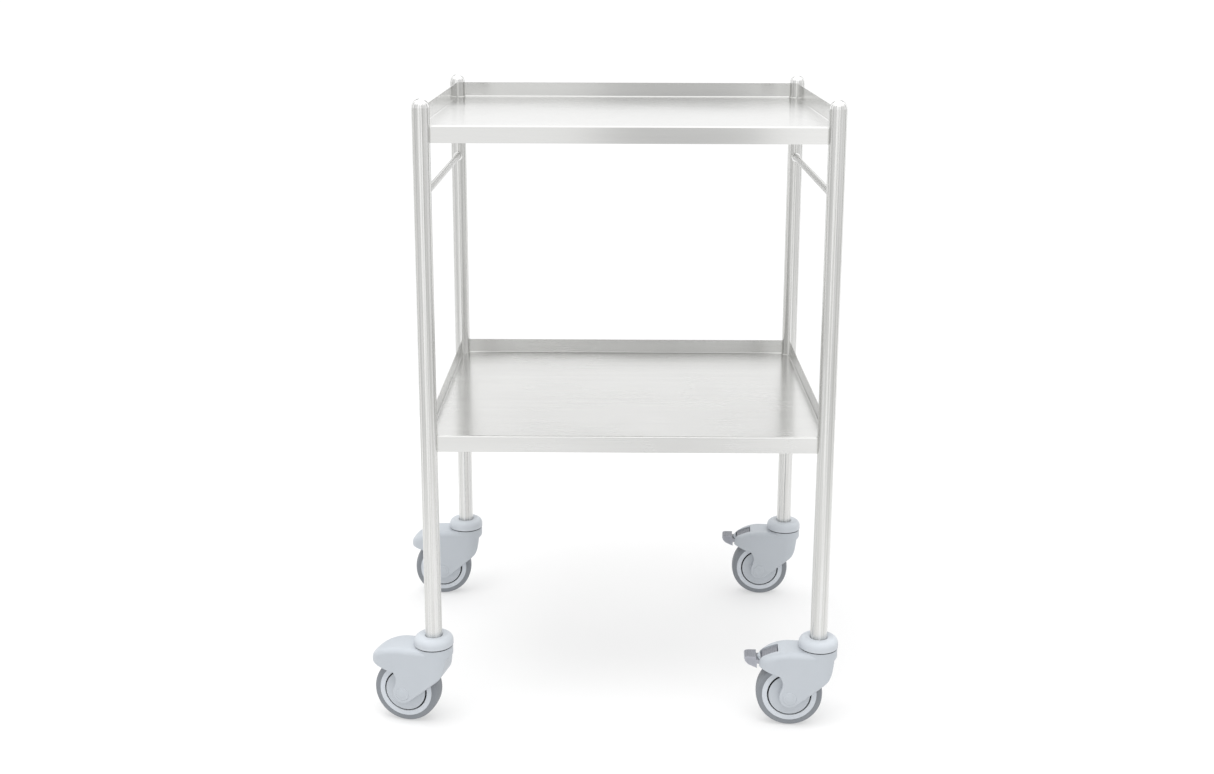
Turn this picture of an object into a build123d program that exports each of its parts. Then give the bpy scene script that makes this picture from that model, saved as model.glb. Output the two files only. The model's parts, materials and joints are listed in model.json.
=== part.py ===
from build123d import *

import os
from dataclasses import dataclass
from math import cos, radians, sin

# A two-shelf instrument cart: four tube posts, two pressed trays, two side rails and four swivel
# casters, the right-hand pair with foot brakes. Millimetres. +X is the cart's right and -Y its
# front. The origin is on the floor, under the middle of the four posts.

os.makedirs("parts", exist_ok=True)

# --- Frame -----------------------------------------------------------------------------------
POST_SPACING_X = 577.0
POST_SPACING_Y = 495.0
POST_RADIUS = 12.5
POST_WALL = 1.2
POST_BOTTOM = 127.0
POST_TOP = 924.5
CAP_SPIGOT_DEPTH = 14.0

# --- Trays -----------------------------------------------------------------------------------
SHEET = 1.2
BEND_RADIUS = 2.0
LIP_HEIGHT = 24.0
APRON_DEPTH = 24.5
SHELF_HEIGHTS = {"upper_tray": 900.0, "lower_tray": 451.0}

# --- Side rails ------------------------------------------------------------------------------
RAIL_RADIUS = 5.0
RAIL_HEIGHT = 800.0
FERRULE_RADIUS = 7.8
FERRULE_LENGTH = 6.0

# --- Caster, heights from the floor, distances along the trail from the swivel axis -----------
WHEEL_RADIUS = 50.0
TRAIL = 41.8
COLLAR_RADIUS = 29.3
COLLAR_BOTTOM = 124.2
COLLAR_TOP = 140.0
HEAD_TOP = 123.4
HEAD_BOTTOM = 104.0
LEG_TOP = 112.0
HOUSING_HALF_WIDTH = 28.6
LEG_INSIDE = 16.4
LEG_END_RADIUS = 15.5
LEG_SLOPE = 39.5
HOOD_FIRST = 4.0
HOOD_START = 45.0
HOOD_CORNER = 8.5
HOOD_SECTIONS = 16
WHEEL_CAVITY_RADIUS = 53.5
STEM_RADIUS = 6.0
STEM_HEAD_RADIUS = 9.0
STEM_HEAD_BOTTOM = 100.6
STEM_CLEARANCE_RADIUS = 10.0
STEM_CLEARANCE_BOTTOM = 80.0
SLEEVE_BOTTOM = 136.0
SLEEVE_TOP = 181.0
STEM_TOP = 190.0
BEARING_RADIUS = 16.0
BEARING_SEAT = 105.0
BEARING_TOP = 122.6
RACE_HEIGHT = 5.7
AXLE_RADIUS = 4.0
HEX_HALF_WIDTH = 6.5
HEX_POCKET_RADIUS = 8.2
HEX_SEAT = 21.6
AXLE_CAP_SEAT = 26.6

# --- Fits --------------------------------------------------------------------------------------
RUNNING_FIT = 0.05
CLOSE_FIT = 0.02

# --- Wheel -----------------------------------------------------------------------------------
RIM_RADIUS = 41.0
RIM_INNER_RADIUS = 33.2
RIM_HALF_WIDTH = 14.5
TYRE_HALF_WIDTH = 14.2
GUARD_RADIUS = 31.4
GUARD_INSIDE = 13.0
GUARD_OUTSIDE = 16.3
BEARING_SEAT_RADIUS = 11.0
BEARING_INSIDE = 5.5
BEARING_OUTSIDE = 12.5
AXLE_CAP_RADIUS = 10.2
AXLE_CAP_FACE = 29.3

# --- Brake -----------------------------------------------------------------------------------
PEDAL_HALF_WIDTH = 12.5
CHANNEL_HALF_WIDTH = 13.2
CHANNEL_TOP = 104.8
CHANNEL_START = 58.0
WINDOW = (60.0, 86.3)
PIVOT = (79.0, 101.5)
PIVOT_PIN_RADIUS = 2.5
PIVOT_PIN_HALF_LENGTH = 20.0
TAB_FRONT = 104.5


@dataclass
class Caster:
    """One caster: where its swivel axis stands, and the way it trails, in degrees from -X."""

    name: str
    x: float
    y: float
    yaw: float
    braked: bool

    @property
    def trail(self):
        return Vector(-cos(radians(self.yaw)), -sin(radians(self.yaw)), 0)

    @property
    def side(self):
        return self.trail.cross(Vector(0, 0, 1))

    @property
    def swivel_axis(self):
        return Axis((self.x, self.y, 0), (0, 0, 1))

    def axis_across(self, along, height):
        """A line across the caster, such as the axle's."""
        return Axis(Vector(self.x, self.y, height) + self.trail * along, self.side)

    def side_plane(self, across=0.0):
        """Drawing plane seen from the side: x along the trail, y up from the floor."""
        return Plane(Vector(self.x, self.y, 0) + self.side * across, x_dir=self.trail, z_dir=self.side)

    def plan_plane(self, height):
        """Drawing plane seen from above: x along the trail."""
        return Plane((self.x, self.y, height), x_dir=self.trail, z_dir=(0, 0, 1))

    def cross_plane(self, along):
        """Drawing plane across the trail: x across the caster, y up from the floor."""
        origin = Vector(self.x, self.y, 0) + self.trail * along
        return Plane(origin, x_dir=self.side, z_dir=self.trail * -1)

    def wheel_plane(self):
        """Drawing plane for wheel sections: x outwards from the axle, y across the caster."""
        origin = Vector(self.x, self.y, WHEEL_RADIUS) + self.trail * TRAIL
        return Plane(origin, x_dir=self.trail, z_dir=(0, 0, -1))


HALF_X = POST_SPACING_X / 2
HALF_Y = POST_SPACING_Y / 2
POSTS = {
    "front_left": (-HALF_X, -HALF_Y),
    "front_right": (HALF_X, -HALF_Y),
    "rear_left": (-HALF_X, HALF_Y),
    "rear_right": (HALF_X, HALF_Y),
}
CASTERS = [
    Caster("front_left", *POSTS["front_left"], yaw=-13.2, braked=False),
    Caster("front_right", *POSTS["front_right"], yaw=-3.3, braked=True),
    Caster("rear_left", *POSTS["rear_left"], yaw=3.5, braked=False),
    Caster("rear_right", *POSTS["rear_right"], yaw=-4.3, braked=True),
]


def save(piece, name):
    piece.part.label = name
    export_step(piece.part, f"parts/{name}.step")
    print(f"{name:26s} {piece.part.volume / 1000:9.2f} cm3  {len(piece.part.solids())} solids")


def section_plane(x, y):
    """Upright drawing plane through a vertical axis: x outwards, y up."""
    return Plane((x, y, 0), x_dir=(1, 0, 0), z_dir=(0, -1, 0))


# --- Posts and their domed caps ----------------------------------------------------------------
for place, (x, y) in POSTS.items():
    with BuildPart() as post:
        with BuildSketch(Plane((x, y, POST_BOTTOM))):
            Circle(POST_RADIUS)
            Circle(POST_RADIUS - POST_WALL, mode=Mode.SUBTRACT)
        extrude(amount=POST_TOP - POST_BOTTOM)
    save(post, f"post_{place}")

with BuildPart() as post_caps:
    for x, y in POSTS.values():
        spigot = POST_RADIUS - POST_WALL - RUNNING_FIT
        with BuildSketch(section_plane(x, y)):
            with BuildLine():
                CenterArc((0, POST_TOP), POST_RADIUS, 0, 90)
                Polyline(
                    (0, POST_TOP + POST_RADIUS),
                    (0, POST_TOP - CAP_SPIGOT_DEPTH),
                    (spigot - 1, POST_TOP - CAP_SPIGOT_DEPTH),
                    (spigot, POST_TOP - CAP_SPIGOT_DEPTH + 1),
                    (spigot, POST_TOP),
                    (POST_RADIUS, POST_TOP),
                )
            make_face()
        revolve(axis=Axis((x, y, 0), (0, 0, 1)))
save(post_caps, "post_caps")


# --- Trays: lips up at the back and sides, an apron turned down along the front ----------------
def bent_strip(plane, points):
    """A sheet section: the middle line of the metal with rounded bends, given its thickness."""
    with BuildSketch(plane) as strip:
        with BuildLine():
            FilletPolyline(*points, radius=BEND_RADIUS + SHEET / 2)
        trace(line_width=SHEET)
    return strip.sketch


def make_tray(shelf_height):
    middle = shelf_height - SHEET / 2
    lip_top = shelf_height + LIP_HEIGHT
    apron_bottom = shelf_height - APRON_DEPTH
    flat_x = HALF_X - BEND_RADIUS - SHEET
    flat_y = HALF_Y - BEND_RADIUS - SHEET
    across = bent_strip(
        Plane.XZ.offset(-flat_y),
        [(-HALF_X, lip_top), (-HALF_X, middle), (HALF_X, middle), (HALF_X, lip_top)],
    )
    along = bent_strip(
        Plane.YZ.offset(-flat_x),
        [(-HALF_Y, apron_bottom), (-HALF_Y, middle), (HALF_Y, middle), (HALF_Y, lip_top)],
    )
    with BuildPart() as tray:
        extrude(across, amount=2 * flat_y)
        extrude(along, amount=2 * flat_x)
        with BuildSketch(Plane.XY.offset(apron_bottom - 1)):
            with Locations(*POSTS.values()):
                Circle(POST_RADIUS + CLOSE_FIT)
        extrude(amount=LIP_HEIGHT + APRON_DEPTH + 2, mode=Mode.SUBTRACT)
    return tray


for tray_name, shelf_height in SHELF_HEIGHTS.items():
    save(make_tray(shelf_height), tray_name)


# --- Side rails and the polished rings at their welds -------------------------------------------
with BuildSketch(Plane.XY.offset(RAIL_HEIGHT - 2 * FERRULE_RADIUS)) as saddles:
    with Locations(*POSTS.values()):
        Circle(POST_RADIUS + CLOSE_FIT)

for side_name, rail_x in (("left", -HALF_X), ("right", HALF_X)):
    with BuildPart() as side_rail:
        with BuildSketch(Plane((rail_x, -HALF_Y, RAIL_HEIGHT), z_dir=(0, 1, 0))):
            Circle(RAIL_RADIUS)
        extrude(amount=POST_SPACING_Y)
        extrude(saddles.sketch, amount=4 * FERRULE_RADIUS, mode=Mode.SUBTRACT)
    save(side_rail, f"side_rail_{side_name}")

with BuildPart() as rail_ferrules:
    for x, y in POSTS.values():
        inward = 1 if y < 0 else -1
        bore = RAIL_RADIUS + CLOSE_FIT
        start, end = POST_RADIUS - 4, POST_RADIUS + FERRULE_LENGTH
        with BuildSketch(Plane((x, y, RAIL_HEIGHT), x_dir=(0, inward, 0), z_dir=(1, 0, 0))):
            with BuildLine():
                FilletPolyline(
                    (start, bore),
                    (end, bore),
                    (end, FERRULE_RADIUS),
                    (start, FERRULE_RADIUS),
                    radius=0.4,
                    close=True,
                )
            make_face()
        revolve(axis=Axis((x, y, RAIL_HEIGHT), (0, inward, 0)))
    extrude(saddles.sketch, amount=4 * FERRULE_RADIUS, mode=Mode.SUBTRACT)
save(rail_ferrules, "rail_ferrules")


# --- Caster: parts that stay still with the frame ------------------------------------------------
def make_stem(caster):
    """Swivel stem with its retaining head and the sleeve that grips inside the post."""
    grip = POST_RADIUS - POST_WALL - RUNNING_FIT
    neck_bottom = BEARING_SEAT - 0.4
    with BuildPart() as stem:
        with BuildSketch(caster.side_plane()):
            with BuildLine():
                Polyline(
                    (0, STEM_HEAD_BOTTOM),
                    (STEM_HEAD_RADIUS - 1, STEM_HEAD_BOTTOM),
                    (STEM_HEAD_RADIUS, STEM_HEAD_BOTTOM + 1),
                    (STEM_HEAD_RADIUS, neck_bottom),
                    (STEM_RADIUS, neck_bottom),
                    (STEM_RADIUS, SLEEVE_BOTTOM),
                    (grip - 2, SLEEVE_BOTTOM),
                    (grip, SLEEVE_BOTTOM + 3),
                    (grip, SLEEVE_TOP - 3),
                    (grip - 2, SLEEVE_TOP),
                    (STEM_RADIUS, SLEEVE_TOP),
                    (STEM_RADIUS, STEM_TOP - 1),
                    (STEM_RADIUS - 1, STEM_TOP),
                    (0, STEM_TOP),
                    close=True,
                )
            make_face()
        revolve(axis=caster.swivel_axis)
    return stem


def make_collar(caster):
    """Domed ring around the foot of the post. It stays still while the housing swivels below it."""
    shoulder = 130.5
    crest_radius = COLLAR_RADIUS - (COLLAR_TOP - shoulder)
    post_hole = POST_RADIUS + RUNNING_FIT
    with BuildPart() as collar:
        with BuildSketch(caster.side_plane()):
            with BuildLine():
                Line((post_hole, POST_BOTTOM), (post_hole, COLLAR_TOP - 2.2))
                ThreePointArc(
                    (post_hole, COLLAR_TOP - 2.2),
                    (post_hole + 0.8, COLLAR_TOP - 0.9),
                    (post_hole + 2.6, COLLAR_TOP - 0.4),
                )
                Line((post_hole + 2.6, COLLAR_TOP - 0.4), (crest_radius, COLLAR_TOP))
                CenterArc((crest_radius, shoulder), COLLAR_TOP - shoulder, 0, 90)
                Polyline(
                    (COLLAR_RADIUS, shoulder),
                    (COLLAR_RADIUS, COLLAR_BOTTOM + 0.9),
                    (COLLAR_RADIUS - 0.9, COLLAR_BOTTOM),
                    (STEM_RADIUS + RUNNING_FIT, COLLAR_BOTTOM),
                    (STEM_RADIUS + RUNNING_FIT, POST_BOTTOM),
                    (post_hole, POST_BOTTOM),
                )
            make_face()
        revolve(axis=caster.swivel_axis)
    return collar


# --- Caster: the swivelling housing ---------------------------------------------------------------
@dataclass
class Hood:
    """Outline of the hood over the wheel: where it ends, and how its top and lower edge run."""

    nose: float
    fullness: float  # how long it keeps its full width before the nose
    crown: float  # its top where it leaves the swivel head
    tip: float  # its top at the nose
    curve: float  # how late the top begins to fall
    bluntness: float  # how gently it falls at the nose
    brim: float  # its lower edge at HOOD_START
    brim_rise: float  # rise of the lower edge per millimetre along the trail

    def stations(self):
        """Where its sections stand, closer together towards the nose."""
        span = self.nose - 0.5 - HOOD_FIRST
        turns = [radians(90 * step / HOOD_SECTIONS) for step in range(HOOD_SECTIONS + 1)]
        return [HOOD_FIRST + span * sin(turn) for turn in turns]

    def shape(self, along):
        """Half width, top and bottom at a distance along the trail."""
        reach = max(0.0, (along - HOOD_START) / (self.nose - HOOD_START))
        half_width = HOUSING_HALF_WIDTH * (1 - reach**self.fullness) ** 0.5
        top = self.tip + (self.crown - self.tip) * (1 - reach**self.curve) ** self.bluntness
        bottom = self.brim + self.brim_rise * (along - HOOD_START)
        return half_width, top, bottom


PLAIN_HOOD = Hood(
    nose=97.5,
    fullness=2.8,
    crown=122.6,
    tip=97.5,
    curve=1.9,
    bluntness=0.66,
    brim=81.0,
    brim_rise=0.21,
)
BRAKED_HOOD = Hood(
    nose=91.3,
    fullness=3.4,
    crown=122.0,
    tip=106.0,
    curve=1.7,
    bluntness=1.0,
    brim=80.8,
    brim_rise=0.32,
)


def hood_section(caster, hood, along):
    half_width, top, bottom = hood.shape(along)
    corner = min(HOOD_CORNER, 0.8 * half_width, 0.6 * (top - bottom))
    with BuildSketch(caster.cross_plane(along)) as section:
        with BuildLine():
            Line((-half_width, bottom), (-half_width, top - corner))
            CenterArc((corner - half_width, top - corner), corner, 90, 90)
            Line((corner - half_width, top), (half_width - corner, top))
            CenterArc((half_width - corner, top - corner), corner, 0, 90)
            Line((half_width, top - corner), (half_width, bottom))
            Line((half_width, bottom), (-half_width, bottom))
        make_face()
    return section.sketch


def on_outer_wall(caster, edge):
    """True for an edge that runs on the outside of the legs, below the hood."""
    middle = edge @ 0.5
    offset = middle - Vector(caster.x, caster.y, middle.Z)
    along = offset.dot(caster.trail)
    across = offset.dot(caster.side)
    if middle.Z > LEG_TOP - 1:
        return False
    reach = abs(across) if along > 0 else (along**2 + across**2) ** 0.5
    return abs(reach - HOUSING_HALF_WIDTH) < 0.01


def make_housing(caster):
    """One moulding: swivel head, hood over the wheel and a leg down each side to the axle."""
    hood = BRAKED_HOOD if caster.braked else PLAIN_HOOD
    sections = [hood_section(caster, hood, along) for along in hood.stations()]
    slope = radians(LEG_SLOPE)
    lower = (TRAIL - LEG_END_RADIUS * sin(slope), WHEEL_RADIUS - LEG_END_RADIUS * cos(slope))
    upper = (-13.2, 75.3)
    front = (57.5, 84.0)
    with BuildPart() as housing:
        # Both legs and the bridge behind the wheel, drawn from the side.
        with BuildSketch(caster.side_plane()):
            with BuildLine():
                Spline(
                    (-24, LEG_TOP),
                    (-22, 97),
                    (-19.6, 86),
                    upper,
                    tangents=[(0.1, -1), (cos(slope), -sin(slope))],
                )
                Line(upper, lower)
                CenterArc((TRAIL, WHEEL_RADIUS), LEG_END_RADIUS, 270 - LEG_SLOPE, 90 + LEG_SLOPE)
                Spline(
                    (TRAIL + LEG_END_RADIUS, WHEEL_RADIUS),
                    (53.8, 64),
                    (52.8, 73),
                    front,
                    tangents=[(0, 1), (0.7, 1)],
                )
                Polyline(front, (front[0], LEG_TOP), (-24, LEG_TOP))
            make_face()
        extrude(amount=HOUSING_HALF_WIDTH, both=True)
        with BuildSketch(caster.plan_plane(30)):
            Circle(HOUSING_HALF_WIDTH)
            with Locations((50, 0)):
                Rectangle(100, 2 * HOUSING_HALF_WIDTH)
        extrude(amount=90, mode=Mode.INTERSECT)
        outline = housing.edges().filter_by(Axis.Z, reverse=True)
        fillet(outline.filter_by(lambda edge: on_outer_wall(caster, edge)), radius=2.2)
        # Swivel head.
        with BuildSketch(caster.side_plane()):
            with BuildLine():
                Polyline(
                    (HOUSING_HALF_WIDTH, 112.5),
                    (HOUSING_HALF_WIDTH, HEAD_TOP - 0.9),
                    (HOUSING_HALF_WIDTH - 0.9, HEAD_TOP),
                    (0, HEAD_TOP),
                    (0, HEAD_BOTTOM),
                    (22.5, HEAD_BOTTOM),
                )
                ThreePointArc((22.5, HEAD_BOTTOM), (27.2, 107.2), (HOUSING_HALF_WIDTH, 112.5))
            make_face()
        revolve(axis=caster.swivel_axis)
        # Hood, one smooth body through its cross-sections.
        loft(sections)
        # Room for the wheel.
        with BuildSketch(caster.side_plane()):
            with Locations((TRAIL, WHEEL_RADIUS)):
                Circle(WHEEL_CAVITY_RADIUS)
        extrude(amount=LEG_INSIDE, both=True, mode=Mode.SUBTRACT)
        # Swivel bearing seat, and the stem's clearance below it.
        with BuildSketch(caster.plan_plane(BEARING_SEAT)):
            Circle(BEARING_RADIUS)
        extrude(amount=HEAD_TOP - BEARING_SEAT, mode=Mode.SUBTRACT)
        with BuildSketch(caster.plan_plane(STEM_CLEARANCE_BOTTOM)):
            Circle(STEM_CLEARANCE_RADIUS)
        extrude(amount=BEARING_SEAT - STEM_CLEARANCE_BOTTOM, mode=Mode.SUBTRACT)
        # Axle bore, with seats for the bolt's head, its nut and the two caps.
        for radius, inner in (
            (AXLE_RADIUS + CLOSE_FIT, 0),
            (HEX_POCKET_RADIUS, HEX_SEAT),
            (AXLE_CAP_RADIUS + RUNNING_FIT, AXLE_CAP_SEAT),
        ):
            for direction in (1, -1):
                with BuildSketch(caster.side_plane(direction * inner)):
                    with Locations((TRAIL, WHEEL_RADIUS)):
                        Circle(radius)
                extrude(amount=direction * (HOUSING_HALF_WIDTH + 1 - inner), mode=Mode.SUBTRACT)
        if caster.braked:
            # Channel for the pedal, its window through the hood and the pivot pin's holes.
            with BuildSketch(caster.side_plane()):
                with BuildLine():
                    Polyline(
                        (CHANNEL_START, 80),
                        (CHANNEL_START, CHANNEL_TOP),
                        (WINDOW[0], CHANNEL_TOP),
                        (WINDOW[0], 130),
                        (WINDOW[1], 130),
                        (WINDOW[1], CHANNEL_TOP),
                        (100, CHANNEL_TOP),
                        (100, 80),
                        close=True,
                    )
                make_face()
            extrude(amount=CHANNEL_HALF_WIDTH, both=True, mode=Mode.SUBTRACT)
            with BuildSketch(caster.side_plane()):
                with Locations(PIVOT):
                    Circle(PIVOT_PIN_RADIUS + CLOSE_FIT)
            extrude(amount=PIVOT_PIN_HALF_LENGTH + 0.2, both=True, mode=Mode.SUBTRACT)
    return housing


def make_swivel_bearing(caster):
    """Two races around the stem with a ring of balls between them."""
    ball_radius = 3.0
    ball_circle = 11.0
    ball_height = (BEARING_SEAT + BEARING_TOP) / 2
    with BuildPart() as bearing:
        for race_bottom in (BEARING_SEAT, BEARING_TOP - RACE_HEIGHT):
            with BuildSketch(caster.plan_plane(race_bottom)):
                Circle(BEARING_RADIUS - CLOSE_FIT)
                Circle(STEM_RADIUS + RUNNING_FIT, mode=Mode.SUBTRACT)
            extrude(amount=RACE_HEIGHT)
        with BuildSketch(caster.side_plane()):
            with Locations((ball_circle, ball_height)):
                Circle(ball_radius + RUNNING_FIT)
        revolve(axis=caster.swivel_axis, mode=Mode.SUBTRACT)
        with Locations(caster.plan_plane(ball_height)):
            with PolarLocations(ball_circle, 9):
                Sphere(ball_radius)
    return bearing


def make_axle(caster):
    """Axle bolt through both legs, with its nut on the far side."""
    with BuildPart() as axle:
        with BuildSketch(caster.side_plane(-HEX_SEAT)):
            with Locations((TRAIL, WHEEL_RADIUS)):
                RegularPolygon(HEX_HALF_WIDTH, 6, major_radius=False)
        extrude(amount=-4.6)
        with BuildSketch(caster.side_plane(-HEX_SEAT)):
            with Locations((TRAIL, WHEEL_RADIUS)):
                Circle(AXLE_RADIUS)
        extrude(amount=2 * HEX_SEAT + 4.4)
        with BuildSketch(caster.side_plane(HEX_SEAT + RUNNING_FIT)):
            with Locations((TRAIL, WHEEL_RADIUS)):
                RegularPolygon(HEX_HALF_WIDTH, 6, major_radius=False)
                Circle(AXLE_RADIUS + RUNNING_FIT, mode=Mode.SUBTRACT)
        extrude(amount=4.3)
    return axle


def make_axle_caps(caster):
    """Round covers over the two ends of the axle."""
    inside = AXLE_CAP_SEAT + RUNNING_FIT
    with BuildPart() as caps:
        for direction in (1, -1):
            with BuildSketch(caster.wheel_plane()):
                with BuildLine():
                    Polyline(
                        (0, direction * AXLE_CAP_FACE),
                        (0, direction * inside),
                        (AXLE_CAP_RADIUS, direction * inside),
                        (AXLE_CAP_RADIUS, direction * (AXLE_CAP_FACE - 0.9)),
                    )
                    ThreePointArc(
                        (AXLE_CAP_RADIUS, direction * (AXLE_CAP_FACE - 0.9)),
                        (AXLE_CAP_RADIUS - 0.3, direction * (AXLE_CAP_FACE - 0.4)),
                        (AXLE_CAP_RADIUS - 0.9, direction * (AXLE_CAP_FACE - 0.15)),
                    )
                    Line(
                        (AXLE_CAP_RADIUS - 0.9, direction * (AXLE_CAP_FACE - 0.15)),
                        (0, direction * AXLE_CAP_FACE),
                    )
                make_face()
            revolve(axis=caster.axis_across(TRAIL, WHEEL_RADIUS))
    return caps


def make_thread_guards(caster):
    """Still discs between the wheel and the legs that keep threads off the bearings."""
    with BuildPart() as guards:
        for direction in (1, -1):
            with BuildSketch(caster.wheel_plane()):
                with BuildLine():
                    Polyline(
                        (AXLE_RADIUS + RUNNING_FIT, direction * GUARD_INSIDE),
                        (GUARD_RADIUS, direction * GUARD_INSIDE),
                        (GUARD_RADIUS, direction * (GUARD_OUTSIDE - 1.7)),
                        (GUARD_RADIUS - 0.8, direction * (GUARD_OUTSIDE - 1.1)),
                        (19, direction * GUARD_OUTSIDE),
                        (AXLE_RADIUS + RUNNING_FIT, direction * GUARD_OUTSIDE),
                        close=True,
                    )
                make_face()
            revolve(axis=caster.axis_across(TRAIL, WHEEL_RADIUS))
    return guards


# --- Caster: the turning wheel --------------------------------------------------------------------
def make_wheel_core(caster):
    """Moulded centre: hub with two bearing seats, web and deep rim."""
    web = 4.0
    seat = BEARING_SEAT_RADIUS + CLOSE_FIT
    half_profile = [
        (seat - 1.5, BEARING_INSIDE),
        (seat, BEARING_INSIDE),
        (seat, BEARING_OUTSIDE),
        (14.5, BEARING_OUTSIDE),
        (16.5, web),
        (RIM_INNER_RADIUS - 0.6, web),
        (RIM_INNER_RADIUS, RIM_HALF_WIDTH - 0.6),
        (RIM_INNER_RADIUS + 0.6, RIM_HALF_WIDTH),
        (RIM_RADIUS - 0.5, RIM_HALF_WIDTH),
        (RIM_RADIUS, RIM_HALF_WIDTH - 0.5),
    ]
    with BuildPart() as core:
        with BuildSketch(caster.wheel_plane()):
            with BuildLine():
                Polyline(*half_profile, *[(r, -across) for r, across in reversed(half_profile)], close=True)
            make_face()
        revolve(axis=caster.axis_across(TRAIL, WHEEL_RADIUS))
    return core


def make_tyre(caster):
    seat = RIM_RADIUS + CLOSE_FIT
    side = TYRE_HALF_WIDTH
    with BuildPart() as tyre:
        with BuildSketch(caster.wheel_plane()):
            with BuildLine():
                Polyline((46.2, side), (seat, side), (seat, -side), (46.2, -side))
                ThreePointArc((46.2, -side), (48.5, -12.9), (49.2, -10.4))
                ThreePointArc((49.2, -10.4), (WHEEL_RADIUS, 0), (49.2, 10.4))
                ThreePointArc((49.2, 10.4), (48.5, 12.9), (46.2, side))
            make_face()
        revolve(axis=caster.axis_across(TRAIL, WHEEL_RADIUS))
    return tyre


def make_wheel_bearings(caster):
    """The hub's two ball bearings, each with its shield recessed between the rings."""
    inside = BEARING_INSIDE + RUNNING_FIT
    shield = BEARING_OUTSIDE - 0.5
    with BuildPart() as bearings:
        for direction in (1, -1):
            with BuildSketch(caster.wheel_plane()):
                with BuildLine():
                    Polyline(
                        (AXLE_RADIUS + RUNNING_FIT, direction * inside),
                        (BEARING_SEAT_RADIUS, direction * inside),
                        (BEARING_SEAT_RADIUS, direction * BEARING_OUTSIDE),
                        (9.4, direction * BEARING_OUTSIDE),
                        (9.2, direction * shield),
                        (6.1, direction * shield),
                        (5.9, direction * BEARING_OUTSIDE),
                        (AXLE_RADIUS + RUNNING_FIT, direction * BEARING_OUTSIDE),
                        close=True,
                    )
                make_face()
            revolve(axis=caster.axis_across(TRAIL, WHEEL_RADIUS))
    return bearings


# --- Brake ----------------------------------------------------------------------------------------
def is_tab_corner(caster, edge):
    """True for the edges down the two front corners of the toe tab."""
    offset = edge.center() - Vector(caster.x, caster.y, 0)
    across = abs(offset.dot(caster.side))
    return offset.dot(caster.trail) > TAB_FRONT and abs(across - PEDAL_HALF_WIDTH) < 0.01


def make_brake_pedal(caster):
    """Rocker with a toe tab outside the nose, a release pad in the window and a lobe for the shoe."""
    with BuildPart() as pedal:
        with BuildSketch(caster.side_plane()):
            with BuildLine():
                Polyline(
                    (91.2, 91.0),
                    (105.4, 97.1),
                    (109.0, 101.2),
                    (110.6, 105.6),
                    (109.6, 108.4),
                    (107.0, 109.2),
                    (92.7, 109.4),
                    (92.7, 104.0),
                    (83.4, 104.0),
                    (83.4, 108.6),
                    (61.2, 117.6),
                    (61.2, 110.4),
                    (70.0, 104.5),
                    (73.5, 99.0),
                    (74.2, 93.4),
                    (79.2, 92.6),
                    (85.0, 97.4),
                    (91.2, 98.2),
                    close=True,
                )
            make_face()
        extrude(amount=PEDAL_HALF_WIDTH, both=True)
        with BuildSketch(caster.side_plane()):
            with Locations(PIVOT):
                Circle(PIVOT_PIN_RADIUS + RUNNING_FIT)
        extrude(amount=PEDAL_HALF_WIDTH, both=True, mode=Mode.SUBTRACT)
        # Grip ribs are raised across the toe tab, and its front corners are rounded in plan.
        with BuildSketch(caster.side_plane()):
            for rib in range(5):
                with Locations((95.4 + 2.9 * rib, 109.3)):
                    Circle(0.55)
        extrude(amount=PEDAL_HALF_WIDTH - 2, both=True)
        fillet(pedal.edges().filter_by(lambda edge: is_tab_corner(caster, edge)), radius=1.6)
    return pedal


def make_brake_shoe(caster):
    """Pad on the end of the rocker's lobe, which the pedal swings onto the tyre."""
    with BuildPart() as shoe:
        with BuildSketch(caster.side_plane()):
            with BuildLine():
                Polyline((74.25, 93.34), (79.15, 92.54), (78.9, 89.2), (76.2, 88.9), (73.2, 90.4), close=True)
            make_face()
        extrude(amount=9, both=True)
    return shoe


def make_pedal_pin(caster):
    with BuildPart() as pin:
        with BuildSketch(caster.side_plane()):
            with Locations(PIVOT):
                Circle(PIVOT_PIN_RADIUS)
        extrude(amount=PIVOT_PIN_HALF_LENGTH, both=True)
    return pin


def make_detent_spring(caster):
    """Leaf spring under the release pad that holds the rocker in either of its two positions."""
    with BuildPart() as spring:
        with BuildSketch(caster.side_plane()):
            with BuildLine():
                FilletPolyline(
                    (58.6, 104.4),
                    (58.6, 101.2),
                    (62.2, 101.2),
                    (65.0, 105.4),
                    (67.6, 103.6),
                    radius=0.9,
                )
            trace(line_width=0.6)
        extrude(amount=8, both=True)
    return spring


MAKERS = {
    "caster_stem": make_stem,
    "caster_collar": make_collar,
    "caster_housing": make_housing,
    "swivel_bearing": make_swivel_bearing,
    "axle": make_axle,
    "axle_caps": make_axle_caps,
    "thread_guards": make_thread_guards,
    "wheel_core": make_wheel_core,
    "tyre": make_tyre,
    "wheel_bearings": make_wheel_bearings,
}
BRAKE_MAKERS = {
    "brake_pedal": make_brake_pedal,
    "brake_shoe": make_brake_shoe,
    "pedal_pin": make_pedal_pin,
    "detent_spring": make_detent_spring,
}

for caster in CASTERS:
    makers = {**MAKERS, **BRAKE_MAKERS} if caster.braked else MAKERS
    for name, make in makers.items():
        save(make(caster), f"{name}_{caster.name}")
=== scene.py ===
import json
from math import cos, pi, radians, sin

import bmesh
import bpy
from mathutils import Matrix, Vector


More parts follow.
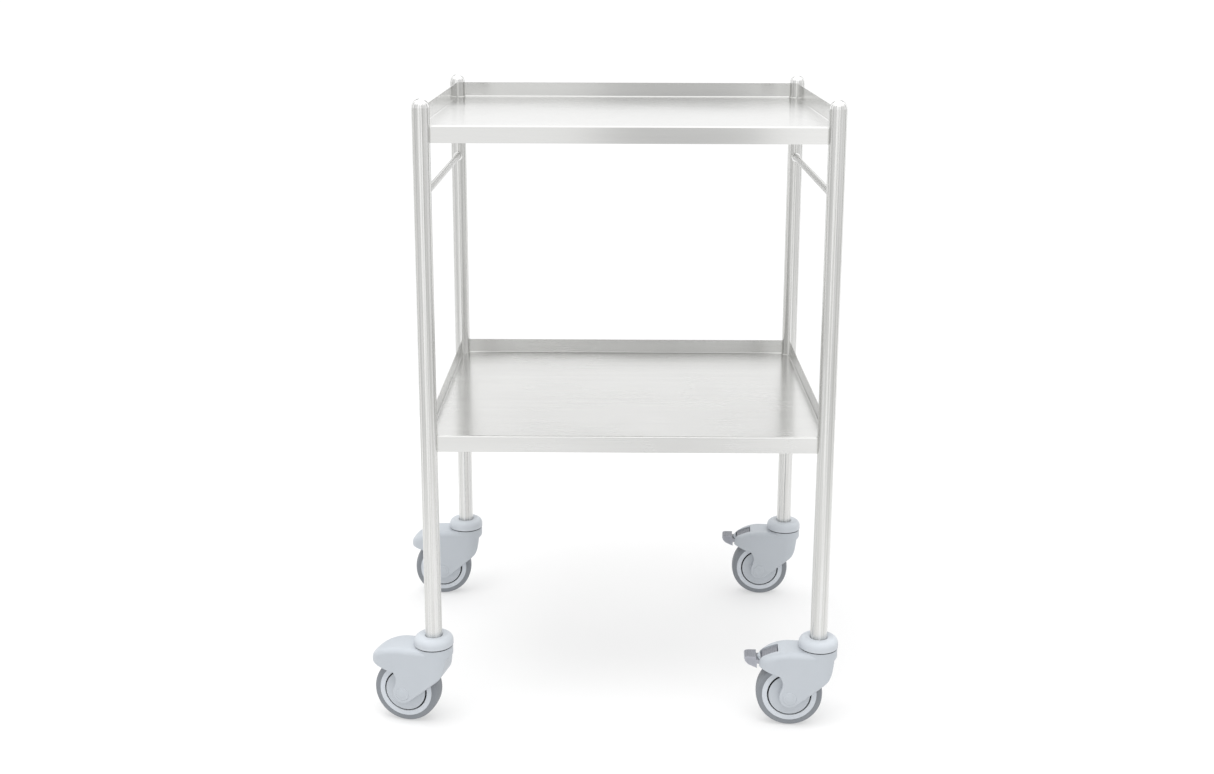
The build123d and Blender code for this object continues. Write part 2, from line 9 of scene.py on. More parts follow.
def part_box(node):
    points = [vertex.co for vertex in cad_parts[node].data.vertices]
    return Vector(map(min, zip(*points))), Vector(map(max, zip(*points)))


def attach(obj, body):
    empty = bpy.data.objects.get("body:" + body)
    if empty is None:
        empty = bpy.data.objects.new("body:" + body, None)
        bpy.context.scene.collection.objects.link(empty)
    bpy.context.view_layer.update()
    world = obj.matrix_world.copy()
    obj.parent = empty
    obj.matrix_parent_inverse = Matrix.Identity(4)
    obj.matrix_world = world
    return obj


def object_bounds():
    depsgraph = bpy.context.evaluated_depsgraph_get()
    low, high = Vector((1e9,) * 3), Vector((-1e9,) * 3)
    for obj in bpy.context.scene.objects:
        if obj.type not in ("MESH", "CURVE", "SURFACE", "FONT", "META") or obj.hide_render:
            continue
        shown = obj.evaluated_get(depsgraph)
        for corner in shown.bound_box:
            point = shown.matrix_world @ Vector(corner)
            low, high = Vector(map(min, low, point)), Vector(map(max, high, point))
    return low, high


# The looks of the two-shelf instrument cart: procedural steel, moulded plastic and rubber on the
# CAD pieces, with weld beads, cap bosses and pedal ribs built as meshes. Metres, in the CAD
# model's frame.

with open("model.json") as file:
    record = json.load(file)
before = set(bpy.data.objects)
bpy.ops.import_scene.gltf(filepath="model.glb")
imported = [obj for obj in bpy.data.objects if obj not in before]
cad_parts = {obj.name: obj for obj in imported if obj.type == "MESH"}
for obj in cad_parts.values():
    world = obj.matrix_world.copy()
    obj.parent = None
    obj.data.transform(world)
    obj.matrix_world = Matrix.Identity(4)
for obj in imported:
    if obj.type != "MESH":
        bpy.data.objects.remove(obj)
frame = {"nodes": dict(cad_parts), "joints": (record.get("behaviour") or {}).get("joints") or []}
CAD_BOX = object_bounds()

# --- Camera ---------------------------------------------------------------------------------------
CAMERA_PLACE = (-0.0153, -2.3503, 1.1101)
CAMERA_YAW = -0.0069
CAMERA_PITCH = 0.2335
CAMERA_ROLL = 0.0028
CAMERA_LENS = 44.89
CAMERA_SHIFT_Y = -0.047
SENSOR_WIDTH = 36.0

# --- Sizes read from the frame --------------------------------------------------------------------
PLACES = ("front_left", "front_right", "rear_left", "rear_right")
BRAKED = ("front_right", "rear_right")
JOINTS = {joint["name"]: joint for joint in frame["joints"]}


def middle(node):
    low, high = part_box(node)
    return (low + high) / 2


def half_size(node):
    low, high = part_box(node)
    return (high - low) / 2


POST_RADIUS = half_size("post_front_left").x
POST_AXES = {place: middle(f"post_{place}") for place in PLACES}
WHEEL_CENTRES = {place: Vector(JOINTS[f"wheel_spin_{place}"]["pos_m"]) for place in PLACES}
WHEEL_AXES = {place: Vector(JOINTS[f"wheel_spin_{place}"]["axis"]) for place in PLACES}
TRAIL = (WHEEL_CENTRES["front_left"].xy - POST_AXES["front_left"].xy).length
LIP_TOPS = {level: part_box(f"{level}_tray")[1].z for level in ("upper", "lower")}
APRON_BOTTOMS = {level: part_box(f"{level}_tray")[0].z for level in ("upper", "lower")}
GUARD_RADIUS = half_size("thread_guards_front_left").z
RIM_RADIUS = half_size("wheel_core_front_left").z

# --- Sizes of the CAD pieces that their boxes don't give ------------------------------------------
MM = 0.001
LIP_HEIGHT = 24.0 * MM
SHEET = 1.2 * MM
CAP_FACE = 29.2 * MM
RIM_INNER_RADIUS = 33.2 * MM
# How far the painted shade of a joint reaches onto the pieces beside it, and the heights between
# which the joint of the housing and its collar lies.
GAP_LIP = 0.35 * MM
HEAD_GAP = (
    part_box("caster_housing_front_left")[1].z - GAP_LIP,
    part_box("caster_collar_front_left")[0].z + GAP_LIP,
)

# --- Sizes of the pieces made here ----------------------------------------------------------------
BEAD_SIDES = 10
# A bead's radius at its end, as a share of the full one, and how much it grows from ring to ring.
BEAD_END = 0.35
BEAD_GROWTH = 0.4
FEWEST_STEPS = 4

WELD_RADIUS = 0.95 * MM
WELD_PITCH = 1.7 * MM
WELD_SPACING = WELD_PITCH / 4
WELD_RIPPLE = 0.16
WELD_OFF_POST = 0.2 * MM
WELD_OFF_FLOOR = 0.1 * MM
# The weld round a post covers the quarter that faces the tray, short of the lips by some degrees.
WELD_ARC = (8, 82)
WELD_ARC_STEPS = 40
SEAM_RADIUS = 0.75 * WELD_RADIUS
SEAM_OFF_BEND = 2 * MM

# Rings of a boss from its edge to its middle: share of the radius, and height in millimetres.
BOSS_PROFILE = ((1.0, 0.0), (0.97, 0.21), (0.9, 0.3), (0.6, 0.38), (0.3, 0.41))
BOSS_RADIUS = 6.4 * MM
BOSS_SUNK = 0.1 * MM
BOSS_SEGMENTS = 40

# The pad's first and last rib as places along the trail and heights, and the tab's ribs, whose
# feet follow its rising lower edge.
RIB_RADIUS = 0.5 * MM
RIB_SPACING = 0.5 * MM
PAD_RIBS = 7
PAD_FIRST_RIB = Vector((63.4, 116.75)) * MM
PAD_LAST_RIB = Vector((81.6, 109.4)) * MM
PAD_HALF_WIDTH = 10.5 * MM
TAB_RIBS = 5
TAB_FIRST_RIB = 95.2 * MM
TAB_RIB_PITCH = 2.7 * MM
TAB_HALF_WIDTH = 12.5 * MM
TAB_RIB_FOOT = 94.6 * MM
TAB_EDGE_SLOPE = 0.43
TAB_RIB_TOP = 107.8 * MM


def on_caster(place, along, across, height):
    """A point of a caster: along its trail from the swivel axis, across it and above the floor."""
    foot = POST_AXES[place].xy.to_3d()
    trail = (WHEEL_CENTRES[place].xy.to_3d() - foot).normalized()
    return foot + trail * along + WHEEL_AXES[place] * across + Vector((0, 0, height))


# --- Node helpers ---------------------------------------------------------------------------------
class Nodes:
    """Adds nodes to one tree. Values that are sockets are linked, and the others are set."""

    def __init__(self, tree):
        self.tree = tree

    def add(self, kind, inputs=None, **settings):
        node = self.tree.nodes.new(kind)
        for name, value in settings.items():
            setattr(node, name, value)
        for name, value in (inputs or {}).items():
            self.feed(node.inputs[name], value)
        return node

    def feed(self, socket, value):
        if isinstance(value, bpy.types.NodeSocket):
            self.tree.links.new(value, socket)
        else:
            socket.default_value = value

    def math(self, operation, *values):
        inputs = dict(enumerate(values))
        return self.add("ShaderNodeMath", inputs, operation=operation).outputs[0]

    def remap(self, value, low, high, to_low, to_high):
        """value taken smoothly from the range low..high to the range to_low..to_high."""
        inputs = {
            "Value": value,
            "From Min": low,
            "From Max": high,
            "To Min": to_low,
            "To Max": to_high,
        }
        node = self.add("ShaderNodeMapRange", inputs, interpolation_type="SMOOTHSTEP")
        return node.outputs["Result"]

    def pick(self, factor, first, second):
        """first where the factor is 0, second where it is 1."""
        node = self.add("ShaderNodeMix", data_type="FLOAT")
        for index, value in ((0, factor), (2, first), (3, second)):
            self.feed(node.inputs[index], value)
        return node.outputs[0]

    def split(self, vector):
        return self.add("ShaderNodeSeparateXYZ", {"Vector": vector}).outputs

    def noise(self, vector, scale, detail=3.0, roughness=0.5):
        """Noise from 0 to 1, with its own scale along X, Y and Z, in features per metre."""
        stretched = self.add("ShaderNodeMapping", {"Vector": vector, "Scale": scale})
        inputs = {
            "Vector": stretched.outputs[0],
            "Scale": 1.0,
            "Detail": detail,
            "Roughness": roughness,
        }
        return self.add("ShaderNodeTexNoise", inputs).outputs["Fac"]

    def clouds(self, vector, scale, **settings):
        """Noise with the same scale in all directions."""
        return self.noise(vector, (scale, scale, scale), **settings)

    def blend(self, factor, first, second):
        """Two colours mixed by a factor."""
        node = self.add("ShaderNodeMix", data_type="RGBA")
        for index, value in ((0, factor), (6, first), (7, second)):
            self.feed(node.inputs[index], value)
        return node.outputs[2]


# --- Finishes -------------------------------------------------------------------------------------
# The darkest and the lightest tone of each finish.
TONES = {
    "tube": ((0.575, 0.575, 0.56), (0.765, 0.765, 0.755)),
    "tray": ((0.67, 0.67, 0.66), (0.71, 0.71, 0.70)),
    "polished": ((0.74, 0.74, 0.73), (0.82, 0.82, 0.815)),
    "zinc": ((0.50, 0.53, 0.57), (0.66, 0.68, 0.70)),
    "weld": ((0.66, 0.66, 0.64), (0.84, 0.84, 0.82)),
    "housing": ((0.44, 0.47, 0.505), (0.48, 0.51, 0.545)),
    "collar": ((0.49, 0.52, 0.555), (0.53, 0.56, 0.595)),
    "guard": ((0.45, 0.48, 0.515), (0.49, 0.52, 0.555)),
    "wheel": ((0.545, 0.58, 0.62), (0.595, 0.625, 0.665)),
    "tyre": ((0.19, 0.205, 0.225), (0.245, 0.26, 0.28)),
    "pedal": ((0.33, 0.34, 0.38), (0.38, 0.39, 0.43)),
    "brake": ((0.03, 0.03, 0.032), (0.06, 0.06, 0.062)),
    "floor": ((0.42, 0.42, 0.42), (0.44, 0.44, 0.44)),
}
# Near black of the painted shade in the joints between pieces and on the pedal's up-facing faces.
PAINTED_SHADE_TONE = (0.018, 0.02, 0.023)
# Roughness of each tray's sheet, from its smoothest to its roughest patches.
TRAY_ROUGHNESS = {"upper": (0.12, 0.17), "lower": (0.22, 0.30)}
# How far the pedal's faces that look up are darkened, a painted shade.
PEDAL_TOP_SHADE = 0.42
PLASTIC_SHEEN = 0.45
# Distance and depth of the lines that a turned mould leaves on the wheels and on the tyres.
TURNED_PITCH = 1.1 * MM
TURNED_DEPTH = 0.03 * MM
TYRE_PITCH = 0.9 * MM
TYRE_DEPTH = 0.05 * MM


class Finish(Nodes):
    """One procedural surface material around a Principled shader."""

    def __init__(self, name, slot, **constants):
        self.slot = slot
        self.material = bpy.data.materials.new(name)
        self.material.use_nodes = True
        super().__init__(self.material.node_tree)
        self.shader = self.tree.nodes["Principled BSDF"]
        for socket, value in constants.items():
            self.shader.inputs[socket.replace("_", " ")].default_value = value
        coordinates = self.add("ShaderNodeTexCoord")
        self.rest = coordinates.outputs["Object"]
        self.normal = coordinates.outputs["Normal"]

    def colour(self, factor, tones, painted_shade=None):
        """Base colour between two tones, blended to near black where painted shade is asked for."""
        dark, light = tones
        tone = self.blend(factor, (*dark, 1), (*light, 1))
        if painted_shade:
            tone = self.blend(painted_shade, tone, (*PAINTED_SHADE_TONE, 1))
        self.feed(self.shader.inputs["Base Color"], tone)

    def roughness(self, factor, low, high):
        self.feed(self.shader.inputs["Roughness"], self.remap(factor, 0.25, 0.75, low, high))

    def bump(self, height, distance, strength=1.0):
        inputs = {"Height": height, "Distance": distance, "Strength": strength}
        node = self.add("ShaderNodeBump", inputs)
        self.feed(self.shader.inputs["Normal"], node.outputs[0])

    def grain(self, vector):
        """Direction in which a brushed face spreads its reflections, in the row frame."""
        self.feed(self.shader.inputs["Tangent"], vector)


# --- Steel ----------------------------------------------------------------------------------------
def tube_steel(name, along):
    """Satin tube with fine streaks along its length; along is 1 for Y and 2 for Z."""
    steel = Finish(name, name, Metallic=1.0, Anisotropic=0.85)
    fine, broad = [520.0] * 3, [150.0] * 3
    fine[along], broad[along] = 3.0, 1.5
    streaks = steel.noise(steel.rest, fine, detail=3.0, roughness=0.6)
    bands = steel.noise(steel.rest, broad, detail=2.0)
    mixed = steel.math("MULTIPLY_ADD", streaks, 0.6, steel.math("MULTIPLY", bands, 0.4))
    steel.colour(steel.remap(mixed, 0.36, 0.64, 0.0, 1.0), TONES["tube"])
    steel.roughness(mixed, 0.17, 0.32)
    steel.bump(streaks, 0.02 * MM, 0.5)
    steel.grain(steel.add("ShaderNodeCombineXYZ", {along: 1.0}).outputs[0])
    return steel


def tray_steel(level):
    """Brushed sheet: scratches across the floor, and along each lip and the apron."""
    steel = Finish(f"{level}_tray_steel", "tray_steel", Metallic=1.0, Anisotropic=0.9)
    facing = [steel.math("ABSOLUTE", part) for part in steel.split(steel.normal)]
    on_side_lip = steel.math("GREATER_THAN", facing[0], 0.6)

    def grained(fine, broad, **settings):
        along_x = steel.noise(steel.rest, (broad, fine, fine), **settings)
        along_y = steel.noise(steel.rest, (fine, broad, fine), **settings)
        return steel.pick(on_side_lip, along_x, along_y)

    scratches = grained(1100.0, 9.0, detail=4.0, roughness=0.65)
    bands = grained(70.0, 2.5, detail=2.0)
    cloud = steel.clouds(steel.rest, 5.0, detail=2.0)
    mixed = steel.math("MULTIPLY_ADD", scratches, 0.55, steel.math("MULTIPLY", bands, 0.45))
    steel.colour(steel.remap(mixed, 0.3, 0.7, 0.0, 1.0), TONES["tray"])
    patches = steel.math("MULTIPLY_ADD", cloud, 0.7, steel.math("MULTIPLY", mixed, 0.3))
    steel.roughness(patches, *TRAY_ROUGHNESS[level])
    # The scratches fade out at the bends, which the press has burnished.
    squareness = steel.math("MAXIMUM", steel.math("MAXIMUM", facing[0], facing[1]), facing[2])
    flatness = steel.remap(squareness, 0.985, 0.999, 0.0, 1.0)
    steel.bump(steel.math("MULTIPLY", scratches, flatness), 0.01 * MM, 0.25)
    steel.grain(steel.add("ShaderNodeCombineXYZ", {1: facing[2], 2: 1.0}).outputs[0])
    return steel


def polished_steel():
    """Buffed to a mirror, with a faint ripple from the polishing wheel."""
    steel = Finish("polished_steel", "polished_steel", Metallic=1.0)
    ripple = steel.clouds(steel.rest, 260.0, detail=2.0)
    haze = steel.clouds(steel.rest, 900.0)
    steel.colour(haze, TONES["polished"])
    steel.roughness(haze, 0.05, 0.12)
    steel.bump(ripple, 0.06 * MM, 0.6)
    return steel


def zinc_steel():
    """Plated fasteners and bearing rings: bluish, with small bright facets of the plating."""
    steel = Finish("zinc_steel", "zinc_steel", Metallic=1.0)
    cells = steel.add("ShaderNodeTexVoronoi", {"Vector": steel.rest, "Scale": 900.0})
    facets = cells.outputs["Distance"]
    steel.colour(facets, TONES["zinc"])
    steel.roughness(facets, 0.24, 0.38)
    return steel


def weld_steel():
    """Small polished beads at the welded corners, with the ripples of the weld pool."""
    steel = Finish("weld_steel", "tray_steel", Metallic=1.0)
    ripple = steel.clouds(steel.rest, 700.0, detail=2.0)
    steel.colour(ripple, TONES["weld"])
    steel.roughness(ripple, 0.14, 0.3)
    steel.bump(ripple, 0.2 * MM, 0.7)
    return steel


# --- Plastic and rubber ---------------------------------------------------------------------------
def moulded_plastic(name, tones, smooth=0.38, rough=0.52, gap=None, top_shade=0.0):
    """Moulded plastic: a fine spark-eroded skin and a slow drift of tone.

    gap is a range of height where the joint between two pieces is darkened, a painted shade.
    Where there is none, the last argument is how much the faces that look up are darkened, also
    a painted shade.
    """
    plastic = Finish(name, name, Specular_IOR_Level=PLASTIC_SHEEN)
    drift = plastic.clouds(plastic.rest, 28.0)
    skin = plastic.clouds(plastic.rest, 1500.0, detail=2.0)
    # Painted shade: near black in the joint's band of height, or else on the faces that look up.
    painted_shade = None
    if gap:
        height = plastic.split(plastic.rest)[2]
        above = plastic.math("GREATER_THAN", height, gap[0])
        painted_shade = plastic.math("MULTIPLY", above, plastic.math("LESS_THAN", height, gap[1]))
    elif top_shade:
        painted_shade = plastic.remap(plastic.split(plastic.normal)[2], 0.5, 0.8, 0.0, top_shade)
    mixed = plastic.math("MULTIPLY_ADD", skin, 0.3, plastic.math("MULTIPLY", drift, 0.7))
    plastic.colour(mixed, tones, painted_shade)
    plastic.roughness(drift, smooth, rough)
    plastic.bump(skin, 0.04 * MM, 0.5)
    return plastic


def turned_part(
    slot, place, tones, smooth, rough, pitch=TURNED_PITCH, depth=TURNED_DEPTH, gap=None
):
    """Plastic or rubber with the fine concentric lines of a turned mould, about the wheel's axis.

    gap is the range of radius darkened with painted shade: the joint between the wheel and its
    thread guard, or the wheel's hub and web inside its rim.
    """
    part = Finish(f"{slot}_{place}", slot)
    axis, centre = WHEEL_AXES[place], WHEEL_CENTRES[place]

    def vector_math(operation, output, *values):
        inputs = dict(enumerate(values))
        return part.add("ShaderNodeVectorMath", inputs, operation=operation).outputs[output]

    offset = vector_math("SUBTRACT", "Vector", part.rest, centre)
    across = vector_math("DOT_PRODUCT", "Value", offset, axis)
    distance = vector_math("LENGTH", "Value", offset)
    squares = [part.math("MULTIPLY", value, value) for value in (distance, across)]
    radius = part.math("SQRT", part.math("SUBTRACT", *squares))
    rings = part.add("ShaderNodeCombineXYZ", {0: radius, 1: across}).outputs[0]
    lines = part.noise(rings, (1 / pitch, 1 / pitch, 1.0), detail=2.0)
    drift = part.clouds(part.rest, 35.0)
    # Painted shade: near black in the given band of radius, at the joint or in the hollow.
    painted_shade = None
    if gap:
        outside = part.math("GREATER_THAN", radius, gap[0])
        painted_shade = part.math("MULTIPLY", outside, part.math("LESS_THAN", radius, gap[1]))
    mixed = part.math("MULTIPLY_ADD", lines, 0.45, part.math("MULTIPLY", drift, 0.55))
    part.colour(mixed, tones, painted_shade)
    part.roughness(drift, smooth, rough)
    part.bump(lines, depth, 0.6)
    return part


# --- Pieces built as meshes -----------------------------------------------------------------------
def add_piece(name, shape, finish, body):
    """Makes an object of a bmesh, in the row frame, that rides on a body."""
    bmesh.ops.recalc_face_normals(shape, faces=shape.faces)
    for face in shape.faces:
        face.smooth = True
    mesh = bpy.data.meshes.new(name)
    shape.to_mesh(mesh)
    shape.free()
    mesh.materials.append(finish.material)
    piece = bpy.data.objects.new(name, mesh)
    bpy.context.scene.collection.objects.link(piece)
    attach(piece, body)
    return piece


def cover(shape, rings):
    """Faces between rings of the same number of points, and over the first and the last one."""
    for first, second in zip(rings, rings[1:]):
        for step in range(len(first)):
            following = (step + 1) % len(first)
            shape.faces.new((first[step], first[following], second[following], second[step]))
    shape.faces.new(rings[0])
    shape.faces.new(rings[-1])


def bead(shape, path, radius, ripple=0.0):
    """A rounded bar along a path, with tapered ends and, in a weld, the ripples of its pool."""
    travelled = 0.0
    rings = []
    for index, point in enumerate(path):
        before, after = path[max(index - 1, 0)], path[min(index + 1, len(path) - 1)]
        travelled += (point - before).length
        ahead = (after - before).normalized()
        reference = Vector((0, 0, 1)) if abs(ahead.z) < 0.9 else Vector((1, 0, 0))
        across = ahead.cross(reference).normalized()
        up = across.cross(ahead)
        from_end = min(index, len(path) - 1 - index)
        taper = min(1.0, BEAD_END + BEAD_GROWTH * from_end)
        wave = 1 + ripple * sin(2 * pi * travelled / WELD_PITCH)
        ring = []
        for side in range(BEAD_SIDES):
            angle = 2 * pi * side / BEAD_SIDES
            outward = across * cos(angle) + up * sin(angle)
            ring.append(shape.verts.new(point + outward * radius * taper * wave))
        rings.append(ring)
    cover(shape, rings)


def straight(start, end, spacing):
    """Evenly spaced points from start to end, enough for the tapers of a bead."""
    count = max(FEWEST_STEPS, round((end - start).length / spacing))
    return [start.lerp(end, step / count) for step in range(count + 1)]


def make_tray_welds(level, finish):
    """Weld beads where a tray meets the posts: round each post, and up the sheet's edges."""
    shape = bmesh.new()
    lip_top = LIP_TOPS[level]
    shelf = lip_top - LIP_HEIGHT
    for place, axis in POST_AXES.items():
        inward_x = 1 if "left" in place else -1
        inward_y = 1 if "front" in place else -1
        reach = POST_RADIUS + WELD_OFF_POST
        arc = []
        for step in range(WELD_ARC_STEPS + 1):
            first, last = WELD_ARC
            angle = radians(first + (last - first) * step / WELD_ARC_STEPS)
            arc.append(Vector((
                axis.x + inward_x * reach * cos(angle),
                axis.y + inward_y * reach * sin(angle),
                shelf + WELD_OFF_FLOOR,
            )))
        bead(shape, arc, WELD_RADIUS, WELD_RIPPLE)
        # Up both faces of the side lip, and of the back lip or the front apron.
        lip_seam = (shelf + SEAM_OFF_BEND, lip_top)
        apron_seam = (APRON_BOTTOMS[level], shelf - SEAM_OFF_BEND)
        for face in (-1, 1):
            side = Vector((axis.x + face * SHEET / 2, axis.y + inward_y * reach, 0))
            cross = Vector((axis.x + inward_x * reach, axis.y + face * SHEET / 2, 0))
            cross_seam = apron_seam if "front" in place else lip_seam
            for foot, (bottom, top) in ((side, lip_seam), (cross, cross_seam)):
                start = foot + Vector((0, 0, bottom))
                end = foot + Vector((0, 0, top - WELD_RADIUS))
                bead(shape, straight(start, end, WELD_SPACING), SEAM_RADIUS, WELD_RIPPLE)
    return add_piece(f"{level}_tray_welds", shape, finish, "frame")


def make_cap_bosses(place, finish):
    """Shallow raised disc in the middle of each axle cap."""
    shape = bmesh.new()
    for direction in (1, -1):
        rings = []
        for share, rise in BOSS_PROFILE:
            across = direction * (CAP_FACE + rise * MM - BOSS_SUNK)
            ring = []
            for step in range(BOSS_SEGMENTS):
                angle = 2 * pi * step / BOSS_SEGMENTS
                along = TRAIL + BOSS_RADIUS * share * cos(angle)
                height = WHEEL_CENTRES[place].z + BOSS_RADIUS * share * sin(angle)
                ring.append(shape.verts.new(on_caster(place, along, across, height)))
            rings.append(ring)
        cover(shape, rings)
    return add_piece(f"axle_cap_bosses_{place}", shape, finish, f"swivel_{place}")


def make_pedal_ribs(place, finish):
    """Grip ribs across the release pad, and up both sides of the toe tab."""
    shape = bmesh.new()
    for rib in range(PAD_RIBS):
        along, height = PAD_FIRST_RIB.lerp(PAD_LAST_RIB, rib / (PAD_RIBS - 1))
        ends = [on_caster(place, along, side * PAD_HALF_WIDTH, height) for side in (-1, 1)]
        bead(shape, straight(*ends, RIB_SPACING), RIB_RADIUS)
    for rib in range(TAB_RIBS):
        along = TAB_FIRST_RIB + TAB_RIB_PITCH * rib
        low = TAB_RIB_FOOT + TAB_EDGE_SLOPE * (along - TAB_FIRST_RIB)
        for side in (-1, 1):
            across = side * TAB_HALF_WIDTH
            ends = [on_caster(place, along, across, height) for height in (low, TAB_RIB_TOP)]
            bead(shape, straight(*ends, RIB_SPACING), RIB_RADIUS)
    return add_piece(f"pedal_ribs_{place}", shape, finish, f"pedal_{place}")


def paint(node, finish):
    """Gives a CAD node its finish, in place of the plain material it came with."""
    slots = frame["nodes"][node].data.materials
    slots.clear()
    slots.append(finish.material)


def dress_cart():
    """Gives the CAD nodes their finishes, and adds the pieces that are built here."""
    post = tube_steel("post_steel", along=2)
    rail = tube_steel("rail_steel", along=1)
    polished = polished_steel()
    zinc = zinc_steel()
    weld = weld_steel()
    # The housing and its collar are darkened in the band of their joint, a painted shade.
    housing = moulded_plastic("housing_plastic", TONES["housing"], gap=HEAD_GAP)
    collar = moulded_plastic("trim_plastic", TONES["collar"], gap=HEAD_GAP)
    # The pedal's faces that look up are darkened, a painted shade.
    pedal = moulded_plastic("pedal_plastic", TONES["pedal"], top_shade=PEDAL_TOP_SHADE)
    brake = moulded_plastic("brake_rubber", TONES["brake"], smooth=0.7, rough=0.85)
    # Painted shade round the rim of each thread guard and over the wheel core inside its rim.
    guard_gap = (GUARD_RADIUS - GAP_LIP, RIM_RADIUS)
    core_gap = (0.0, RIM_INNER_RADIUS - GAP_LIP)
    for place in PLACES:
        guard = turned_part("trim_plastic", place, TONES["guard"], 0.38, 0.5, gap=guard_gap)
        core = turned_part("wheel_plastic", place, TONES["wheel"], 0.34, 0.46, gap=core_gap)
        tyre = turned_part(
            "tyre_rubber", place, TONES["tyre"], 0.55, 0.72, TYRE_PITCH, TYRE_DEPTH
        )
        for node, finish in (
            ("post", post),
            ("caster_stem", zinc),
            ("swivel_bearing", zinc),
            ("axle", zinc),
            ("wheel_bearings", zinc),
            ("caster_housing", housing),
            ("axle_caps", housing),
            ("caster_collar", collar),
            ("thread_guards", guard),
            ("wheel_core", core),
            ("tyre", tyre),
        ):
            paint(f"{node}_{place}", finish)
    for place in BRAKED:
        paint(f"brake_pedal_{place}", pedal)
        paint(f"brake_shoe_{place}", brake)
        paint(f"pedal_pin_{place}", zinc)
        paint(f"detent_spring_{place}", zinc)
    paint("post_caps", polished)
    paint("rail_ferrules", polished)
    paint("side_rail_left", rail)
    paint("side_rail_right", rail)
    for level in ("upper", "lower"):
        paint(f"{level}_tray", tray_steel(level))
        make_tray_welds(level, weld)
    for place in PLACES:
        make_cap_bosses(place, housing)
    for place in BRAKED:
        make_pedal_ribs(place, pedal)


# --- Studio ---------------------------------------------------------------------------------------
WHITE = (1.0, 1.0, 1.0, 1.0)
FLOOR_RADIUS = 1.45
FLOOR_SEGMENTS = 96
FLOOR_BELOW_WHEELS = 0.2 * MM
FLOOR_GLOW = 0.45
LAMP_PLACE = (-0.35, -1.0, 3.3)
LAMP_TARGET = (0.0, 0.0, 0.5)
LAMP_SIZE = (2.4, 1.6)
LAMP_POWER = 46.0
# Brightness of the room in front of the cart, behind it and overhead, and between which values of
# the direction's Y and Z it changes from one to the next.
FRONT = 0.86
BEHIND = 1.20
OVERHEAD = 1.60
FRONT_TO_BEHIND = (-0.5, 0.6)
SIDES_TO_OVERHEAD = (0.35, 0.9)
# Brightness of the plain white that the camera sees.
BACKDROP = 1.05
# Soft cards around the cart, which light it and show in its reflections, but not behind it:
# azimuth from the front towards +X, elevation, half width and half height, all in degrees, and
# how bright they are.
CARDS = (
    (-10, 10, 9.5, 40, 1.09),
    (12, 10, 7, 40, 1.22),
    (-23, 10, 3, 40, 1.45),
    (2.5, 10, 3, 40, 0.75),
    (28, 10, 4, 40, 0.70),
    (-74, 10, 6, 45, 0.66),
    (107, 10, 7, 45, 0.55),
    (-116, 10, 6, 45, 0.55),
    (-162, 10, 7, 45, 0.40),
    (160, 10, 6, 45, 0.50),
    (-38, 42, 5, 14, 0.15),
    (44, 46, 6, 12, 0.15),
    (4, 66, 14, 5, 0.20),
    (150, 40, 8, 14, 0.25),
    (-148, 44, 8, 12, 0.25),
)
# Degrees over which the edge of a card fades.
CARD_EDGE = 2.0


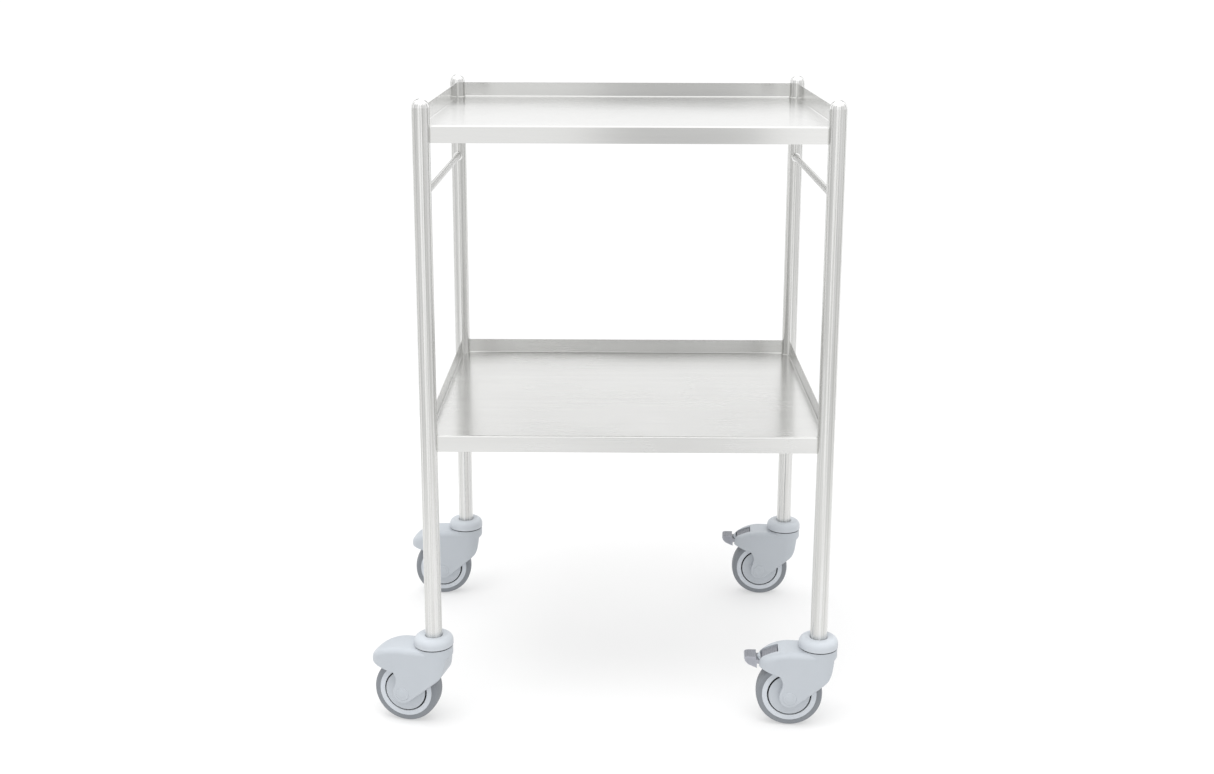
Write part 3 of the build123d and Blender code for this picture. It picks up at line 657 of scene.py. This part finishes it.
def make_world():
    world = bpy.data.worlds.new("studio")
    bpy.context.scene.world = world
    world.use_nodes = True
    light = Nodes(world.node_tree)
    x, y, z = light.split(light.add("ShaderNodeTexCoord").outputs["Generated"])
    level = light.remap(y, *FRONT_TO_BEHIND, FRONT, BEHIND)
    top = light.remap(z, *SIDES_TO_OVERHEAD, 0.0, 1.0)
    azimuth = light.math("ARCTAN2", x, light.math("MULTIPLY", y, -1.0))
    elevation = light.math("ARCSINE", z)
    for card_azimuth, card_elevation, half_width, half_height, brightness in CARDS:
        inside = 1.0
        for angle, centre, half in (
            (azimuth, card_azimuth, half_width),
            (elevation, card_elevation, half_height),
        ):
            away = light.math("ABSOLUTE", light.math("SUBTRACT", angle, radians(centre)))
            outer, inner = radians(half + CARD_EDGE / 2), radians(half - CARD_EDGE / 2)
            near = light.remap(away, outer, inner, 0.0, 1.0)
            inside = light.math("MULTIPLY", inside, near)
        change = light.math("MULTIPLY", inside, light.math("SUBTRACT", brightness, level))
        level = light.math("ADD", level, change)
    change = light.math("MULTIPLY", top, light.math("SUBTRACT", OVERHEAD, level))
    level = light.math("ADD", level, change)
    lighting = light.add("ShaderNodeBackground", {"Color": WHITE, "Strength": level}).outputs[0]
    backdrop = light.add("ShaderNodeBackground", {"Color": WHITE, "Strength": BACKDROP}).outputs[0]
    seen = light.add("ShaderNodeLightPath").outputs["Is Camera Ray"]
    shown = light.add("ShaderNodeMixShader", {0: seen, 1: lighting, 2: backdrop}).outputs[0]
    light.feed(world.node_tree.nodes["World Output"].inputs["Surface"], shown)


def make_floor():
    mesh = bpy.data.meshes.new("floor")
    floor = bpy.data.objects.new("floor", mesh)
    bpy.context.scene.collection.objects.link(floor)
    shape = bmesh.new()
    bmesh.ops.create_circle(
        shape, cap_ends=True, radius=FLOOR_RADIUS, segments=FLOOR_SEGMENTS
    )
    height = CAD_BOX[0].z - FLOOR_BELOW_WHEELS
    bmesh.ops.translate(shape, verts=shape.verts, vec=(0, 0, height))
    shape.to_mesh(mesh)
    shape.free()
    white = Finish("white_floor", None, Emission_Color=WHITE, Emission_Strength=FLOOR_GLOW)
    cloud = white.clouds(white.rest, 3.0, detail=2.0)
    white.colour(cloud, TONES["floor"])
    white.roughness(cloud, 0.75, 0.9)
    mesh.materials.append(white.material)


def make_lights():
    """One broad soft light overhead, in front of the cart."""
    data = bpy.data.lights.new("overhead", "AREA")
    data.shape = "RECTANGLE"
    data.size, data.size_y = LAMP_SIZE
    data.energy = LAMP_POWER
    lamp = bpy.data.objects.new("overhead", data)
    lamp.location = LAMP_PLACE
    aim = Vector(LAMP_TARGET) - Vector(LAMP_PLACE)
    lamp.rotation_euler = aim.to_track_quat("-Z", "Y").to_euler()
    lamp.visible_glossy = False
    bpy.context.scene.collection.objects.link(lamp)


def make_camera():
    data = bpy.data.cameras.new("camera")
    data.sensor_width = SENSOR_WIDTH
    data.lens = CAMERA_LENS
    data.shift_y = CAMERA_SHIFT_Y
    camera = bpy.data.objects.new("camera", data)
    camera.matrix_world = (
        Matrix.Translation(CAMERA_PLACE)
        @ Matrix.Rotation(-CAMERA_YAW, 4, "Z")
        @ Matrix.Rotation(pi / 2 - CAMERA_PITCH, 4, "X")
        @ Matrix.Rotation(CAMERA_ROLL, 4, "Z")
    )
    bpy.context.scene.collection.objects.link(camera)
    bpy.context.scene.camera = camera


bpy.context.scene.view_settings.view_transform = "Standard"
make_camera()
make_world()
make_lights()
make_floor()
dress_cart()
